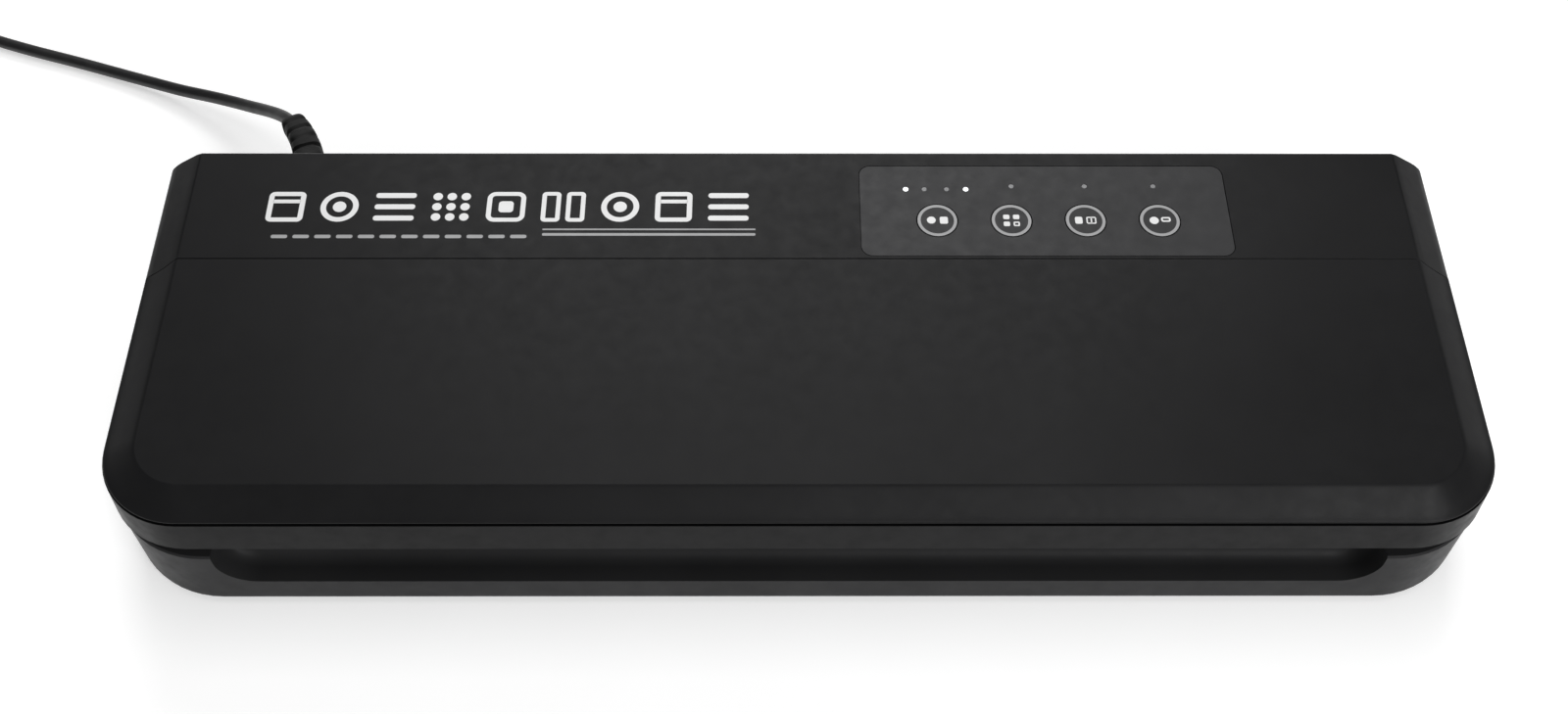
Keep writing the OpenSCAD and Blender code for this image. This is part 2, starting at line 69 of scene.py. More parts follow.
def plastic(name, color, rough=0.42, rvar=0.08, grain=900.0, grain_h=0.00002, bump=0.25, mottle=0.12,
            spec=0.5, coat=0.0, metallic=0.0, sheen=0.0, streak=None, voronoi=False, sub=0.0, dust=0.0):
    """Moulded or coated surface: fine grain in the height, slow mottling in colour and roughness."""
    m = bpy.data.materials.new(name)
    m.use_nodes = True
    nt = m.node_tree
    b = nt.nodes["Principled BSDF"]
    L = nt.links.new
    tc = _n(nt, "ShaderNodeTexCoord", -1300, 0)
    src = tc.outputs["Object"]
    if streak:
        mp = _n(nt, "ShaderNodeMapping", -1150, 0)
        mp.inputs["Scale"].default_value = streak
        L(src, mp.inputs["Vector"])
        src = mp.outputs["Vector"]
    big = _n(nt, "ShaderNodeTexNoise", -900, 300, Scale=28.0, Detail=4.0, Roughness=0.55)
    mid = _n(nt, "ShaderNodeTexNoise", -900, 50, Scale=210.0, Detail=3.0, Roughness=0.6)
    L(tc.outputs["Object"], big.inputs["Vector"])
    L(src, mid.inputs["Vector"])
    if voronoi:
        fine = _n(nt, "ShaderNodeTexVoronoi", -900, -250, Scale=grain)
        L(src, fine.inputs["Vector"])
        fo = fine.outputs["Distance"]
    else:
        fine = _n(nt, "ShaderNodeTexNoise", -900, -250, Scale=grain, Detail=2.0, Roughness=0.5)
        L(src, fine.inputs["Vector"])
        fo = fine.outputs[0]
    # colour
    ramp = nt.nodes.new("ShaderNodeValToRGB"); ramp.location = (-600, 300)
    c = list(color)[:3]
    lo = [max(0.0, v*(1.0-mottle)) for v in c] + [1.0]
    hi = [min(1.0, v*(1.0+mottle) + 0.0006) for v in c] + [1.0]
    ramp.color_ramp.elements[0].position = 0.3; ramp.color_ramp.elements[0].color = lo
    ramp.color_ramp.elements[1].position = 0.72; ramp.color_ramp.elements[1].color = hi
    L(big.outputs[0], ramp.inputs["Fac"])
    col = ramp.outputs["Color"]
    if dust > 0.0:
        dr = nt.nodes.new("ShaderNodeValToRGB"); dr.location = (-600, 560)
        dr.color_ramp.elements[0].position = 0.62; dr.color_ramp.elements[0].color = (0, 0, 0, 1)
        dr.color_ramp.elements[1].position = 0.80; dr.color_ramp.elements[1].color = (dust, dust, dust, 1)
        L(mid.outputs[0], dr.inputs["Fac"])
        mx = nt.nodes.new("ShaderNodeMix"); mx.data_type = "RGBA"; mx.location = (-250, 420)
        mx.inputs[7].default_value = [min(1.0, v*1.6+0.02) for v in c] + [1.0]
        L(dr.outputs["Color"], mx.inputs[0]); L(col, mx.inputs[6])
        col = mx.outputs[2]
    L(col, b.inputs["Base Color"])
    # roughness
    mr = nt.nodes.new("ShaderNodeMapRange"); mr.location = (-600, 0)
    mr.inputs["From Min"].default_value = 0.3; mr.inputs["From Max"].default_value = 0.7
    mr.inputs["To Min"].default_value = max(0.03, rough-rvar); mr.inputs["To Max"].default_value = min(1.0, rough+rvar)
    L(mid.outputs[0], mr.inputs["Value"])
    L(mr.outputs["Result"], b.inputs["Roughness"])
    # height
    bp = nt.nodes.new("ShaderNodeBump"); bp.location = (-300, -250)
    bp.inputs["Strength"].default_value = bump
    bp.inputs["Distance"].default_value = grain_h
    L(fo, bp.inputs["Height"])
    L(bp.outputs["Normal"], b.inputs["Normal"])
    b.inputs["Metallic"].default_value = metallic
    b.inputs["Specular IOR Level"].default_value = spec
    if coat: b.inputs["Coat Weight"].default_value = coat; b.inputs["Coat Roughness"].default_value = 0.2
    if sheen: b.inputs["Sheen Weight"].default_value = sheen
    if sub: b.inputs["Subsurface Weight"].default_value = sub
    return m

def glow(name, color, strength, base=(0.8, 0.8, 0.8)):
    m = plastic(name, base, rough=0.3, rvar=0.05, grain=2500, mottle=0.05)
    b = m.node_tree.nodes["Principled BSDF"]
    b.inputs["Emission Color"].default_value = (*color, 1)
    b.inputs["Emission Strength"].default_value = strength
    return m

MAT = {
 "shell":  plastic("abs_satin_black", (0.0105, 0.0105, 0.0110), rough=0.38, rvar=0.05, grain=2600, grain_h=0.000012, bump=0.35, mottle=0.10, spec=0.085),
 # frame: a darker copy of the same black ABS, lowered to dim the lid's lower band (also used on the release buttons,
 # latch hooks and cord clamp): painted shade
 "frame":  plastic("abs_black_frame_painted_shade", (0.0045, 0.0045, 0.0048), rough=0.40, rvar=0.06, grain=2300, grain_h=0.000012, bump=0.35, mottle=0.10, spec=0.07),
 # base: a lighter copy of the same black ABS, raised to brighten the scoop recess that lies in the lid's shade: painted
 # light
 "base":   plastic("abs_black_base_painted_light", (0.0215, 0.0215, 0.0222), rough=0.42, rvar=0.06, grain=2300, grain_h=0.000012, bump=0.35, mottle=0.10, spec=0.07),
 "deck":   plastic("abs_matt_deck", (0.017, 0.017, 0.018), rough=0.55, rvar=0.08, grain=1500, grain_h=0.00003, bump=0.4, mottle=0.14),
 "film":   plastic("panel_film", (0.0183, 0.0183, 0.0196), rough=0.52, rvar=0.05, grain=3200, grain_h=0.000008, bump=0.3, mottle=0.07, spec=0.3),
 "print":  plastic("white_print", (0.78, 0.78, 0.78), rough=0.5, rvar=0.06, grain=3000, grain_h=0.000006, bump=0.3, mottle=0.03),
 "print2": plastic("grey_print", (0.33, 0.33, 0.335), rough=0.5, rvar=0.06, grain=3000, grain_h=0.000006, bump=0.3, mottle=0.05),
 "lens":   plastic("lens_dim", (0.10, 0.10, 0.105), rough=0.25, rvar=0.05, grain=2000, mottle=0.05),
 "lens_on": glow("lens_lit", (0.92, 0.96, 1.0), 0.9),
 "rubber": plastic("moulded_rubber", (0.006, 0.006, 0.006), rough=0.68, rvar=0.10, grain=1400, grain_h=0.00004, bump=0.45, mottle=0.2, spec=0.35),
 "pvc":    plastic("cord_pvc", (0.011, 0.011, 0.0115), rough=0.45, rvar=0.08, grain=1100, grain_h=0.00003, bump=0.35, mottle=0.15),
 "foam":   plastic("closed_cell_foam", (0.014, 0.014, 0.0145), rough=0.85, rvar=0.08, grain=1500, grain_h=0.00018, bump=0.8, mottle=0.3, voronoi=True, sheen=0.2),
 "silicone": plastic("silicone_strip", (0.42, 0.41, 0.40), rough=0.5, rvar=0.08, grain=900, grain_h=0.00003, mottle=0.06, sub=0.1),
 "steel":  plastic("zinc_steel", (0.55, 0.55, 0.56), rough=0.33, rvar=0.08, grain=700, grain_h=0.00001, metallic=1.0, mottle=0.08, streak=(1, 14, 14)),
 "nickel": plastic("nickel_pin", (0.68, 0.67, 0.64), rough=0.2, rvar=0.06, grain=900, grain_h=0.000006, metallic=1.0, mottle=0.06, streak=(14, 1, 14)),
 "bronze": plastic("sintered_bronze", (0.55, 0.36, 0.16), rough=0.5, rvar=0.08, grain=1500, grain_h=0.00004, metallic=1.0, mottle=0.2, voronoi=True),
 "copper": plastic("rotor_copper", (0.45, 0.17, 0.07), rough=0.4, rvar=0.08, grain=1200, grain_h=0.00006, metallic=0.8, mottle=0.25, streak=(1, 30, 30)),
 "ferrite": plastic("ferrite", (0.035, 0.034, 0.034), rough=0.6, rvar=0.08, grain=1800, mottle=0.2),
 "nylon":  plastic("natural_nylon", (0.62, 0.61, 0.56), rough=0.42, rvar=0.07, grain=1000, mottle=0.05, sub=0.05),
 "hose":   plastic("silicone_hose", (0.52, 0.53, 0.54), rough=0.35, rvar=0.06, grain=600, mottle=0.06, sub=0.1),
 "pcb":    plastic("pcb_green", (0.010, 0.10, 0.035), rough=0.36, rvar=0.08, grain=500, grain_h=0.00004, mottle=0.35, voronoi=True),
 "dark":   plastic("component_black", (0.02, 0.02, 0.02), rough=0.5, rvar=0.08, grain=1500, mottle=0.15),
 "ivory":  plastic("led_body", (0.72, 0.70, 0.62), rough=0.3, rvar=0.06, grain=1500, mottle=0.05, sub=0.1),
 "yellow": plastic("transformer_tape", (0.62, 0.42, 0.05), rough=0.4, rvar=0.08, grain=900, mottle=0.12, streak=(1, 1, 25)),
 "blue":   plastic("capacitor_sleeve", (0.035, 0.05, 0.24), rough=0.3, rvar=0.06, grain=900, mottle=0.1),
 "relay":  plastic("relay_case", (0.03, 0.15, 0.42), rough=0.35, rvar=0.06, grain=900, mottle=0.08),
 "phenolic": plastic("phenolic_bar", (0.20, 0.105, 0.045), rough=0.55, rvar=0.08, grain=700, grain_h=0.00005, mottle=0.25, streak=(0.2, 4, 4)),
 "ribbon": plastic("nichrome", (0.45, 0.44, 0.42), rough=0.35, rvar=0.08, grain=900, metallic=1.0, mottle=0.1, streak=(1, 20, 20)),
}

def weave(name, color, gap, rough=0.45):
    """Glass cloth under a PTFE coat: two crossed wave textures give the threads."""
    m = plastic(name, color, rough=rough, rvar=0.08, grain=900, mottle=0.12)
    nt = m.node_tree; L = nt.links.new
    b = nt.nodes["Principled BSDF"]
    tc = [n for n in nt.nodes if n.type == "TEX_COORD"][0]
    hs = []
    for ax in ("X", "Y"):
        w = nt.nodes.new("ShaderNodeTexWave"); w.wave_type = "BANDS"; w.bands_direction = ax
        w.inputs["Scale"].default_value = gap; w.inputs["Distortion"].default_value = 0.3
        L(tc.outputs["Object"], w.inputs["Vector"]); hs.append(w.outputs["Color"])
    mx = nt.nodes.new("ShaderNodeMix"); mx.data_type = "RGBA"; mx.blend_type = "MULTIPLY"
    mx.inputs[0].default_value = 1.0
    L(hs[0], mx.inputs[6]); L(hs[1], mx.inputs[7])
    bp = [n for n in nt.nodes if n.type == "BUMP"][0]
    bp.inputs["Distance"].default_value = 0.00006; bp.inputs["Strength"].default_value = 0.7
    L(mx.outputs[2], bp.inputs["Height"])
    return m
MAT["ptfe"] = weave("ptfe_cloth", (0.30, 0.205, 0.115), 420.0)

# ------------------------------------------------------------------ helpers
def link(obj):
    bpy.context.scene.collection.objects.link(obj)
    return obj

def mesh_obj(name, verts, faces, mat, smooth=True, scale=MM):
    me = bpy.data.meshes.new(name)
    me.from_pydata([(v[0]*scale, v[1]*scale, v[2]*scale) for v in verts], [], faces)
    me.validate()
    bm = bmesh.new(); bm.from_mesh(me)
    bmesh.ops.recalc_face_normals(bm, faces=bm.faces)
    bm.to_mesh(me); bm.free()
    if smooth:
        me.polygons.foreach_set("use_smooth", [True]*len(me.polygons))
    me.materials.append(mat)
    return link(bpy.data.objects.new(name, me))

def soften(o, width=0.35, seg=3, angle=32, weld=True, dissolve=True):
    """Rounds the hard edges of a piece and evens out its shading."""
    if weld:
        w = o.modifiers.new("weld", "WELD"); w.merge_threshold = 0.000004
    if dissolve:
        d = o.modifiers.new("planes", "DECIMATE"); d.decimate_type = "DISSOLVE"; d.angle_limit = math.radians(0.6)
    if width > 0:
        b = o.modifiers.new("edge", "BEVEL"); b.width = width*MM; b.segments = seg
        b.limit_method = "ANGLE"; b.angle_limit = math.radians(angle); b.use_clamp_overlap = True
        b.harden_normals = False; b.miter_outer = "MITER_ARC"
    return o

def shade(o, angle=35):
    me = o.data
    me.polygons.foreach_set("use_smooth", [True]*len(me.polygons))
    try:
        me.set_sharp_from_angle(angle=math.radians(angle))
    except Exception:
        pass
    return o

def paint(node, mat):
    o = N[node]
    o.data.materials.clear()
    o.data.materials.append(MAT[mat])
    return o


# ------------------------------------------------------------------ power cord
CD = 0.004
CORD = [(-157.4,93.7,25.4),(-160.9,98.2,23.2),(-165.2,102.6,20.3),(-170,106.6,17.4),(-175.9,111.1,14),
 (-183.1,116,10.8),(-192.5,121.3,7.7),(-203.9,126.4,5.2),(-216.3,131.7,3.7),(-230,137,2.9),(-244,142,2.6),
 (-258,146.5,2.6),(-272,151.5,2.6),(-284,156.5,2.6),(-294,160.3,2.6),(-303,163,2.6)]
TAIL = [(-348.6,129,6.5),(-349,124,6.5),(-349.8,117,5.7),(-349.3,110,4.2),(-347.4,103,2.9),(-344.2,97,2.3),(-340,91.5,2.8),(-336.8,86.5,4.4),(-335,82,6.2)]
COIL_C = (-320.0, 136.0)

def ease(t):
    t = max(0.0, min(1.0, t))
    return t*t*(3-2*t)

def winding(step=6.0):
    """Lower layer of four turns wound inwards, then an upper layer wound outwards in its grooves."""
    out = []
    phi, end = 72.0, 72.0+360*6+113.0
    while phi <= end+1e-6:
        k = int((phi-72.0)//360)
        f = (phi-72.0) % 360 - 288.0
        loc = f + 288.0
        if k < 3:
            r, z = 30-4*k-4*ease((f-8)/64.0), 2.6
        elif k == 3:
            r, z = 18+2*ease((f-40)/32.0), 2.6+4.0*ease((f+2)/52.0)
        else:
            base = 20+4*(k-4)
            r = base+(4*ease((f+46)/66.0) if k < 6 else 0)
            z = 6.1+0.5*(1-ease(loc/40.0)) + (0.5*ease((f+50)/20.0) if k < 6 else 0)
        a = math.radians(phi)
        out.append((COIL_C[0]+r*math.cos(a), COIL_C[1]+r*math.sin(a), z))
        phi += step
    return out

def catmull(pts, step=2.0):
    """Evenly sampled smooth line through the points."""
    P = [Vector(p) for p in pts]
    P = [P[0]*2-P[1]] + P + [P[-1]*2-P[-2]]
    line = []
    for i in range(1, len(P)-2):
        a, b, c, d = P[i-1], P[i], P[i+1], P[i+2]
        n = max(2, int((c-b).length/step+0.5))
        for k in range(n):
            t = k/n
            line.append(0.5*((2*b)+(c-a)*t+(2*a-5*b+4*c-d)*t*t+(3*b-3*c+d-a)*t*t*t))
    line.append(P[-2].copy())
    return line

route = catmull(CORD + winding() + TAIL, 2.0)
for _ in range(2):
    route = [route[0]] + [route[i]*0.5+(route[i-1]+route[i+1])*0.25 for i in range(1, len(route)-1)] + [route[-1]]
crv = bpy.data.curves.new("mains_cord", "CURVE")
crv.dimensions = "3D"
sp = crv.splines.new("POLY")
sp.points.add(len(route)-1)
for i, p in enumerate(route):
    sp.points[i].co = (p.x*MM, p.y*MM, p.z*MM, 1.0)
crv.bevel_depth = CD/2
crv.bevel_resolution = 4
crv.use_fill_caps = True
crv.materials.append(MAT["pvc"])
cord = link(bpy.data.objects.new("mains_cord", crv))
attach(cord, "base"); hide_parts("power_cord", "cord_coil")

def frames(line):
    """Tangent, side and up directions along a line, without twist."""
    out, side = [], None
    for i in range(len(line)):
        t = (line[min(i+1, len(line)-1)]-line[max(i-1, 0)]).normalized()
        if side is None:
            side = t.cross(Vector((0, 0, 1)))
            if side.length < 0.2:
                side = t.cross(Vector((1, 0, 0)))
        side = (side-t*side.dot(t)).normalized()
        out.append((t, side, side.cross(t).normalized()))
    return out

def sweep(name, line, section, mat, caps=True, smooth=True):
    """section(s) gives the outline at share s of the length, as (side, up) pairs in millimetres."""
    fr = frames(line)
    n = len(line)
    tot = [0.0]
    for i in range(1, n):
        tot.append(tot[-1]+(line[i]-line[i-1]).length)
    V, F, m = [], [], None
    for i in range(n):
        sec = section(tot[i]/tot[-1])
        m = len(sec)
        for a, b in sec:
            V.append(line[i]+fr[i][1]*a+fr[i][2]*b)
    for i in range(n-1):
        for k in range(m):
            q = (k+1) % m
            F.append((i*m+k, i*m+q, (i+1)*m+q, (i+1)*m+k))
    if caps:
        F.append(tuple(reversed(range(m))))
        F.append(tuple((n-1)*m+k for k in range(m)))
    return mesh_obj(name, V, F, mat, smooth)

def oval(hw_, hh, n=32, p=2.0):
    """Superellipse outline."""
    out = []
    for k in range(n):
        a = 2*math.pi*k/n
        c, s = math.cos(a), math.sin(a)
        out.append((hw_*math.copysign(abs(c)**(2/p), c), hh*math.copysign(abs(s)**(2/p), s)))
    return out

# strain relief: square-shouldered sleeve with flexing ribs
RELIEF = [(-147,60,30),(-147.2,66,30),(-147.9,71.6,29.8),(-149.2,76.8,29.4),(-151,81.6,28.8),(-153.1,86.2,27.9),(-155.3,90.2,26.8),(-157.4,93.7,25.4)]
rl = catmull(RELIEF, 0.45)
def relief_sec(s):
    r = 5.4+(3.75-5.4)*s
    rib = 0.0
    if 0.12 < s < 0.93:
        ph = ((s-0.12)/0.81*6) % 1.0
        rib = ease((ph-0.55)/0.12)*(1-ease((ph-0.86)/0.12))
    if s > 0.97:
        r -= 0.5*ease((s-0.97)/0.03)
    r -= 0.95*rib
    return oval(r*1.0, r*0.93, 40, 3.4)
relief = sweep("strain_relief", rl, relief_sec, MAT["rubber"])
shade(relief, 50)
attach(relief, "base")
# its collar in the wall
col = catmull([(-147,52.6,30),(-147,56,30),(-147,60.1,30)], 0.4)
def collar_sec(s):
    y = 52.6+7.5*s
    r = 6.2 if y < 56.4 else 4.98
    if y < 53.0: r -= 0.4*(1-ease((y-52.6)/0.4))
    return oval(r, r, 40, 2.0)
collar = sweep("relief_collar", col, collar_sec, MAT["rubber"]); shade(collar, 40)
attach(collar, "base"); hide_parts("cord_strain_relief")

# tie round the coil
ta = math.radians(-60)
rad, tan = Vector((math.cos(ta), math.sin(ta), 0)), Vector((-math.sin(ta), math.cos(ta), 0))
cc = Vector((COIL_C[0], COIL_C[1], 0))
loop = []
r0, r1, z0, z1, q = 15.35, 32.65, 0.32, 8.65, 2.2
for (cx_, cz_, a0) in ((r1-q, z1-q, 0), (r0+q, z1-q, 90), (r0+q, z0+q, 180), (r1-q, z0+q, 270)):
    for k in range(9):
        a = math.radians(a0+90*k/8)
        loop.append((cx_+q*math.cos(a), cz_+q*math.sin(a)))
V, F = [], []
m = len(loop)
secs = [(-3.8, 0.0), (-3.9, 0.12), (-3.9, 0.33), (-3.8, 0.42), (3.8, 0.42), (3.9, 0.33), (3.9, 0.12), (3.8, 0.0)]
for j, (w, t) in enumerate(secs):
    for k in range(m):
        a = Vector(loop[k]); b = Vector(loop[(k+1) % m]); c = Vector(loop[k-1])
        nrm = Vector(((b-c).y, -(b-c).x)).normalized()
        pt = a+nrm*t
        V.append(cc+rad*pt.x+tan*w+Vector((0, 0, max(0.02, pt.y))))
for j in range(len(secs)):
    for k in range(m):
        q2 = (k+1) % m; j2 = (j+1) % len(secs)
        F.append((j*m+k, j*m+q2, j2*m+q2, j2*m+k))
tie = mesh_obj("cord_wrap", V, F, MAT["rubber"]); shade(tie, 40)
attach(tie, "base"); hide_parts("cord_tie")

# plug: flat two-pin body with finger grooves
pl = [Vector((-335, 66-0.4*i, 6.8)) for i in range(81)]
def plug_sec(s):
    y = 66-32*s
    w = 7+10.5*ease((66-y)/22.0)*1.0 if y > 44 else 17.5
    w = min(w, 7+(66-y)/22.0*10.5+0.0) if y > 44 else 17.5
    h = 4.6+2.2*ease((66-y)/20.0)
    if y > 65.2: w -= 0.8*ease((y-65.2)/0.8); h -= 0.8*ease((y-65.2)/0.8)
    if y < 35.2: w -= 1.2*ease((35.2-y)/1.2); h -= 1.2*ease((35.2-y)/1.2)
    if 46 < y < 60:
        w -= 0.55*(0.5-0.5*math.cos((y-46)/14*2*math.pi*5))
    return oval(w, h, 64, 5.5)
plug = sweep("plug", pl, plug_sec, MAT["pvc"]); shade(plug, 42)
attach(plug, "base"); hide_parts("plug_body")
for i, x in enumerate((-344.5, -325.5)):
    sl = [Vector((x, 34.6-0.4*k, 6.8)) for k in range(26)]
    sleeve = sweep("pin_sleeve_%d" % i, sl, lambda s: oval(1.92 if s < 0.96 else 1.75, 1.92 if s < 0.96 else 1.75, 28), MAT["pvc"])
    shade(sleeve, 40)
    mt = [Vector((x, 24.8-0.35*k, 6.8)) for k in range(26)]
    def tip(s):
        y = 24.8-8.75*s
        r = 2.0 if y > 17.6 else max(0.35, 2.0*math.sqrt(max(0.0, 1-((17.6-y)/1.55)**2)))
        return oval(r, r, 28)
    metal = sweep("pin_%d" % i, mt, tip, MAT["nickel"]); shade(metal, 50)
    for o, sl_ in ((sleeve, "cord_black"), (metal, "pin_nickel")):
        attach(o, "base")
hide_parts("plug_pins")
pr = catmull([(-335,66.4,6.8),(-335,70,6.8),(-335,74,6.8),(-335,78,6.6),(-335,82,6.2)], 0.3)
def prel(s):
    r = 4.2-1.4*s
    ph = (s*5) % 1.0
    if 0.08 < s < 0.95: r -= 0.55*ease((ph-0.5)/0.15)*(1-ease((ph-0.85)/0.15))
    return oval(r, r*0.97, 32, 2.4)
prelief = sweep("plug_boot", pr, prel, MAT["rubber"]); shade(prelief, 50)
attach(prelief, "base"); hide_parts("plug_relief")

# ------------------------------------------------------------------ lid shell
HW, YF, YS, RC = 183.2, -60.0, 20.35, 23.0
BS, BW = 10.6, 8.2
HY, HZ = 28.0, 46.0
PROF = [(45.7,0.045),(46.6,0.19),(48.5,0.46),(50.5,0.75),(51.55,0.91),(52.0,1.0)]

def y_end(z):
    d = 9.6**2-(z-HZ)**2
    return YS if d <= (HY-YS)**2 else HY-math.sqrt(d)

def profile(pts, sub):
    P = [Vector((a, b, 0)) for a, b in pts]
    P = [P[0]*2-P[1]]+P+[P[-1]*2-P[-2]]
    out = []
    for i in range(1, len(P)-2):
        a, b, c, d = P[i-1], P[i], P[i+1], P[i+2]
        for k in range(sub):
            t = k/sub
            q = 0.5*((2*b)+(c-a)*t+(2*a-5*b+4*c-d)*t*t+(3*b-3*c+d-a)*t*t*t)
            out.append((q.x, q.y))
    out.append((pts[-1][0], pts[-1][1]))
    return out

def lid_ring(z, si, fi, n=36):
    a, f, r = HW-si, YF+fi, max(RC-(si+fi)/2, 4.0)
    ye = y_end(z)
    pts = [(a, ye), (a, ye*0.5+(f+r)*0.5)]
    for k in range(n+1):
        t = math.radians(-90.0*k/n)
        pts.append((a-r+r*math.cos(t), f+r+r*math.sin(t)))
    for k in range(1, 8):
        x = (a-r)*(1-2*k/8)
        pts.append((x, f))
    for k in range(n+1):
        t = math.radians(-90.0-90.0*k/n)
        pts.append((-a+r+r*math.cos(t), f+r+r*math.sin(t)))
    pts += [(-a, ye*0.5+(f+r)*0.5), (-a, ye)]
    return [Vector((x, y, z)) for x, y in pts]

outer = [(44.95, 0.85, 0.85), (44.98, 0.66, 0.66), (45.08, 0.45, 0.45), (45.22, 0.3, 0.3), (45.42, 0.27, 0.25)] + [(z, BS*t, BW*t) for z, t in profile(PROF, 4)]
m_o = len(outer)
inner = []
for z, i, j in outer:
    s = (z-44.95)/7.05
    inner.append((44.95+s*5.1, i+2.2+2.0*s*s, j+2.2+2.0*s*s))
V, F = [], []
for z, i, j in outer: V += lid_ring(z, i, j)
K = len(V)//m_o
for z, i, j in inner: V += lid_ring(z, i, j)
o2 = m_o*K
for j in range(m_o-1):
    for k in range(K-1):
        F.append((j*K+k, (j+1)*K+k, (j+1)*K+k+1, j*K+k+1))
        F.append((o2+j*K+k, o2+j*K+k+1, o2+(j+1)*K+k+1, o2+(j+1)*K+k))
F.append(tuple((m_o-1)*K+k for k in range(K)))
F.append(tuple(o2+(m_o-1)*K+k for k in reversed(range(K))))
for k in range(K-1): F.append((k, k+1, o2+k+1, o2+k))
rowsA, rowsB = [], []
ztop_in = inner[-1][0]
ao, ai = HW-outer[-1][1], HW-inner[-1][1]
for s in (0.25, 0.5, 0.75):
    z = 52.0+(ztop_in-52.0)*s
    x = ao+(ai-ao)*s
    V.append(Vector((x, y_end(z), z))); rowsA.append(len(V)-1)
    V.append(Vector((-x, y_end(z), z))); rowsB.append(len(V)-1)
for c, rows in ((0, rowsA), (K-1, rowsB)):
    for j in range(m_o-2):
        F.append((j*K+c, (j+1)*K+c, o2+(j+1)*K+c, o2+j*K+c))
    F.append(tuple([(m_o-2)*K+c, (m_o-1)*K+c]+rows+[o2+(m_o-1)*K+c, o2+(m_o-2)*K+c]))
ra = [(m_o-1)*K]+rowsA+[o2+(m_o-1)*K]
rb = [(m_o-1)*K+K-1]+rowsB+[o2+(m_o-1)*K+K-1]
for j in range(4): F.append((ra[j], rb[j], rb[j+1], ra[j+1]))
lid = mesh_obj("lid_top", V, F, MAT["shell"])
soften(lid, 0.14, 3, 42, weld=False, dissolve=False)
wn = lid.modifiers.new("even", "WEIGHTED_NORMAL"); wn.keep_sharp = False; wn.weight = 60
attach(lid, "lid"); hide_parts("lid_shell")

# ------------------------------------------------------------------ CAD nodes: finish, rounded edges
FINISH = {
 "base_shell": ("base", 0.45), "chamber_deck": ("deck", 0.4), "rear_cover": ("shell", 0.16), "control_panel": ("film", 0.12),
 "indicator_lenses": ("lens", 0.12), "control_board": ("pcb", 0.1), "tact_switches": ("dark", 0.2), "status_leds": ("ivory", 0.15),
 "power_board": ("pcb", 0.1), "transformer": ("yellow", 0.5), "capacitors": ("blue", 0.6), "relay": ("relay", 0.5),
 "motor_can": ("steel", 0.6), "motor_end_cap": ("nylon", 0.4), "motor_magnets": ("ferrite", 0.3), "motor_bushings": ("bronze", 0.2),
 "motor_rotor": ("copper", 0.4), "crank_disc": ("nylon", 0.3), "pump_crankcase": ("nylon", 0.6), "pump_yoke": ("nylon", 0.5),
 "pump_diaphragm": ("rubber", 0.3), "pump_head": ("nylon", 0.6), "vacuum_hose": ("hose", 0.0), "pump_mounts": ("rubber", 0.6),
 "heater_bar": ("phenolic", 0.3), "heating_element": ("ribbon", 0.04), "ptfe_tape": ("ptfe", 0.06), "hinge_pins": ("steel", 0.25),
 "rubber_feet": ("rubber", 0.5), "release_button_left": ("frame", 0.6), "release_button_right": ("frame", 0.6),
 "release_spring_left": ("steel", 0.1), "release_spring_right": ("steel", 0.1), "lid_frame": ("frame", 0.18), "press_strip": ("silicone", 0.7),
 "latch_hooks": ("frame", 0.35), "cord_clamp": ("frame", 0.4),
 "key_mode": ("film", 0.16), "key_vac_seal": ("film", 0.16), "key_seal": ("film", 0.16), "key_vacuum": ("film", 0.16),
}
for node, (mat, w) in FINISH.items():
    o = paint(node, mat)
    me = o.data
    if me.attributes.get("custom_normal"):
        me.attributes.remove(me.attributes["custom_normal"])
    me.polygons.foreach_set("use_smooth", [True]*len(me.polygons))
    soften(o, w, 3 if w > 0.2 else 2, 30)
    wn = o.modifiers.new("even", "WEIGHTED_NORMAL"); wn.keep_sharp = False; wn.weight = 55

# ------------------------------------------------------------------ prints
def prism(name, shapes, z0, z1, mat, body):
    """Flat printed marks: each shape is an outline, or an (outer, inner) pair of equal length."""
    V, F = [], []
    for s in shapes:
        if len(s) == 2 and isinstance(s[0], list):
            a, b = s
            n = len(a); o = len(V)
            for z in (z0, z1):
                V += [(x, y, z) for x, y in a] + [(x, y, z) for x, y in b]
            for k in range(n):
                q = (k+1) % n
                F.append((o+2*n+k, o+2*n+q, o+3*n+q, o+3*n+k))
                F.append((o+k, o+n+k, o+n+q, o+q))
                F.append((o+k, o+q, o+2*n+q, o+2*n+k))
                F.append((o+n+k, o+3*n+k, o+3*n+q, o+n+q))
        else:
            n = len(s); o = len(V)
            for z in (z0, z1): V += [(x, y, z) for x, y in s]
            F.append(tuple(o+n+k for k in range(n)))
            F.append(tuple(o+k for k in reversed(range(n))))
            for k in range(n):
                q = (k+1) % n
                F.append((o+k, o+q, o+n+q, o+n+k))
    ob = mesh_obj(name, V, F, MAT[mat], smooth=False)
    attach(ob, body)
    return ob

def rrect(x0, y0, x1, y1, r, n=6):
    out = []
    for cx_, cy_, a0 in ((x1-r, y1-r, 0), (x0+r, y1-r, 90), (x0+r, y0+r, 180), (x1-r, y0+r, 270)):
        for k in range(n+1):
            a = math.radians(a0+90*k/n)
            out.append((cx_+r*math.cos(a), cy_+r*math.sin(a)))
    return out
def disc(x, y, r, n=24): return [(x+r*math.cos(2*math.pi*k/n), y+r*math.sin(2*math.pi*k/n)) for k in range(n)]
def ring(x, y, r0, r1, n=48): return (disc(x, y, r1, n), disc(x, y, r0, n))
def frame_(x0, y0, x1, y1, r, t): return (rrect(x0, y0, x1, y1, r), rrect(x0+t, y0+t, x1-t, y1-t, max(0.05, r-t)))

